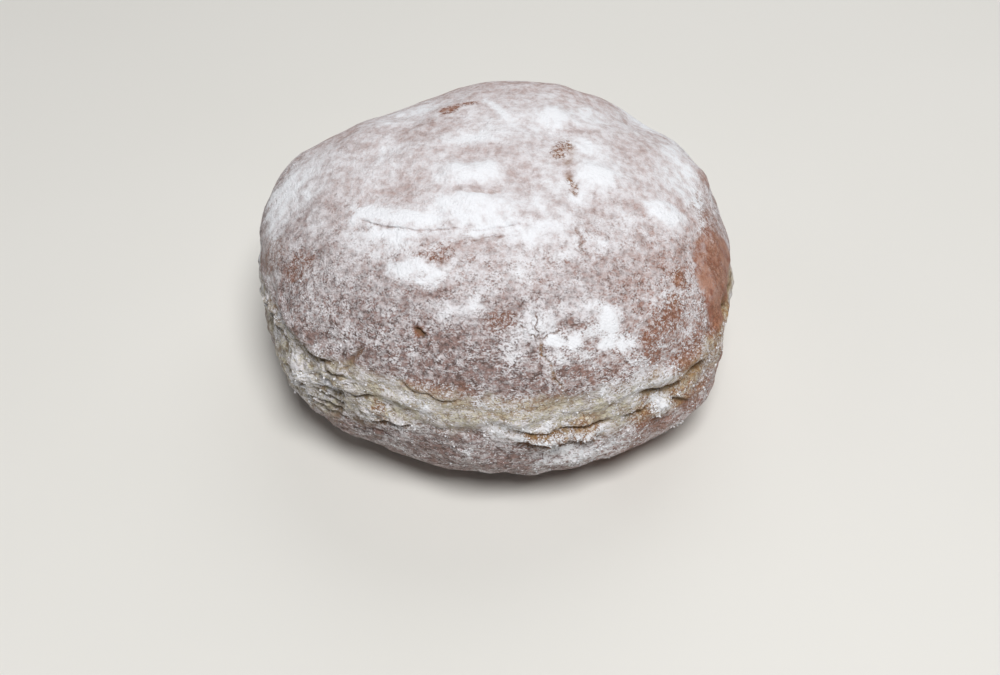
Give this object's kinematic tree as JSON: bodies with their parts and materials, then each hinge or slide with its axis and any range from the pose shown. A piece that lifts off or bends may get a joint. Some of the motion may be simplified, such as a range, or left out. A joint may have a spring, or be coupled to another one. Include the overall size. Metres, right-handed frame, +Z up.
{
  "type": "powdered cream filled doughnut",
  "caption": "Round filled doughnut without a hole, dusted with powdered sugar, with a pale wrinkled band and a deep front crease.",
  "frame": {"origin": "on the surface that the doughnut rests on, under the middle of its outline", "axes": "+Z up, -Y towards the side with the deep crease at the waist, +X to the right of it"},
  "size_m": [0.0912, 0.092, 0.0467],
  "materials": {
    "sugared_dough": "matte powdered sugar over brown fried dough"
  },
  "bodies": {
    "root": {"doughnut": "sugared_dough"}
  },
  "joints": []
}
